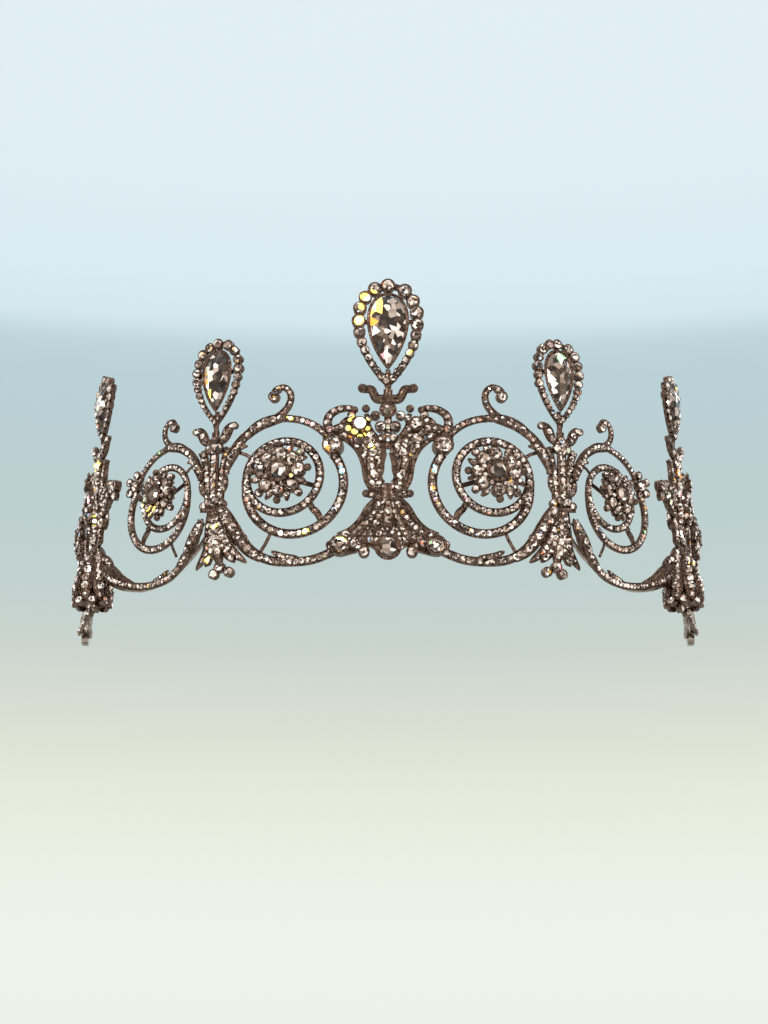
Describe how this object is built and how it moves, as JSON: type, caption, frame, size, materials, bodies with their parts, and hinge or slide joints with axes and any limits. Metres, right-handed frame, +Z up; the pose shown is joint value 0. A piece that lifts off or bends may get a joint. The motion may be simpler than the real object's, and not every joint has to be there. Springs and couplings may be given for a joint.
{
  "type": "bridal tiara",
  "caption": "Scroll tiara of stone-set metal with a lyre centre, trembling flower heads in spiral wheels and lift-off pear finials.",
  "frame": {"origin": "centre of the bounding box's base, on the surface the tiara stands on", "axes": "+Z up, the front faces -Y, +X to the right seen from the front, the open back faces +Y"},
  "size_m": [0.16, 0.0724, 0.0715],
  "materials": {
    "platinum": "aged bright metal set with small stones",
    "clear_stone": "faceted, clear",
    "polished_metal": "polished"
  },
  "bodies": {
    "frame": {"arch_left_one": "platinum", "arch_left_three": "platinum", "arch_left_two": "platinum", "arch_right_one": "platinum", "arch_right_three": "platinum", "arch_right_two": "platinum", "bell": "platinum", "end_post_left": "polished_metal", "end_post_right": "polished_metal", "flank_collet_left": "platinum", "flank_collet_right": "platinum", "rail_left": "polished_metal", "rail_right": "polished_metal", "ribbon_loop_left": "polished_metal", "ribbon_loop_right": "polished_metal", "scroll_left_one": "platinum", "scroll_left_three": "platinum", "scroll_left_two": "platinum", "scroll_right_one": "platinum", "scroll_right_three": "platinum", "scroll_right_two": "platinum", "setting_stones": "clear_stone", "station_left_one": "platinum", "station_left_two": "platinum", "station_right_one": "platinum", "station_right_two": "platinum", "swag_left_one": "platinum", "swag_left_three": "platinum", "swag_left_two": "platinum", "swag_right_one": "platinum", "swag_right_three": "platinum", "swag_right_two": "platinum", "urn": "platinum"},
    "flower_left_one": {"flower_left_one": "platinum", "flower_stone_left_one": "clear_stone"},
    "flower_left_three": {"flower_left_three": "platinum", "flower_stone_left_three": "clear_stone"},
    "flower_left_two": {"flower_left_two": "platinum", "flower_stone_left_two": "clear_stone"},
    "flower_right_one": {"flower_right_one": "platinum", "flower_stone_right_one": "clear_stone"},
    "flower_right_three": {"flower_right_three": "platinum", "flower_stone_right_three": "clear_stone"},
    "flower_right_two": {"flower_right_two": "platinum", "flower_stone_right_two": "clear_stone"},
    "drop_left": {"hanging_drop_left": "platinum", "hanging_stone_left": "clear_stone"},
    "drop_right": {"hanging_drop_right": "platinum", "hanging_stone_right": "clear_stone"},
    "finial_centre": {"pear_frame_centre": "platinum", "pear_stone_centre": "clear_stone"},
    "finial_left_one": {"pear_frame_left_one": "platinum", "pear_stone_left_one": "clear_stone"},
    "finial_left_two": {"pear_frame_left_two": "platinum", "pear_stone_left_two": "clear_stone"},
    "finial_right_one": {"pear_frame_right_one": "platinum", "pear_stone_right_one": "clear_stone"},
    "finial_right_two": {"pear_frame_right_two": "platinum", "pear_stone_right_two": "clear_stone"}
  },
  "joints": [
    {"name": "flower_left_one_tremble", "type": "hinge", "parent": "frame", "child": "flower_left_one", "pos_m": [-0.02402, -0.02828, 0.02355], "axis": [0.9771, -0.2126, 0], "range_deg": [-6, 6], "stiffness_Nm_per_rad": 0.002},
    {"name": "flower_left_three_tremble", "type": "hinge", "parent": "frame", "child": "flower_left_three", "pos_m": [-0.07454, 0.0147, 0.02294], "axis": [0.254, -0.9672, 0], "range_deg": [-6, 6], "stiffness_Nm_per_rad": 0.002},
    {"name": "flower_left_two_tremble", "type": "hinge", "parent": "frame", "child": "flower_left_two", "pos_m": [-0.05242, -0.01476, 0.02319], "axis": [0.7441, -0.6681, 0], "range_deg": [-6, 6], "stiffness_Nm_per_rad": 0.002},
    {"name": "flower_right_one_tremble", "type": "hinge", "parent": "frame", "child": "flower_right_one", "pos_m": [0.02402, -0.02828, 0.02355], "axis": [0.9771, 0.2126, 0], "range_deg": [-6, 6], "stiffness_Nm_per_rad": 0.002},
    {"name": "flower_right_three_tremble", "type": "hinge", "parent": "frame", "child": "flower_right_three", "pos_m": [0.07454, 0.0147, 0.02294], "axis": [0.254, 0.9672, 0], "range_deg": [-6, 6], "stiffness_Nm_per_rad": 0.002},
    {"name": "flower_right_two_tremble", "type": "hinge", "parent": "frame", "child": "flower_right_two", "pos_m": [0.05242, -0.01476, 0.02319], "axis": [0.7441, 0.6681, 0], "range_deg": [-6, 6], "stiffness_Nm_per_rad": 0.002},
    {"name": "finial_centre_lift", "type": "slide", "parent": "frame", "child": "finial_centre", "axis": [0, 0, 1], "range_m": [0, 0.012]},
    {"name": "finial_left_one_lift", "type": "slide", "parent": "frame", "child": "finial_left_one", "axis": [0, 0, 1], "range_m": [0, 0.012]},
    {"name": "finial_left_two_lift", "type": "slide", "parent": "frame", "child": "finial_left_two", "axis": [0, 0, 1], "range_m": [0, 0.012]},
    {"name": "finial_right_one_lift", "type": "slide", "parent": "frame", "child": "finial_right_one", "axis": [0, 0, 1], "range_m": [0, 0.012]},
    {"name": "finial_right_two_lift", "type": "slide", "parent": "frame", "child": "finial_right_two", "axis": [0, 0, 1], "range_m": [0, 0.012]},
    {"name": "drop_left_swing", "type": "hinge", "parent": "frame", "child": "drop_left", "pos_m": [-0.0054, -0.03408, 0.0059], "axis": [0, -1, 0], "range_deg": [-25, 25]},
    {"name": "drop_right_swing", "type": "hinge", "parent": "frame", "child": "drop_right", "pos_m": [0.0054, -0.03408, 0.0059], "axis": [0, -1, 0], "range_deg": [-25, 25]}
  ]
}
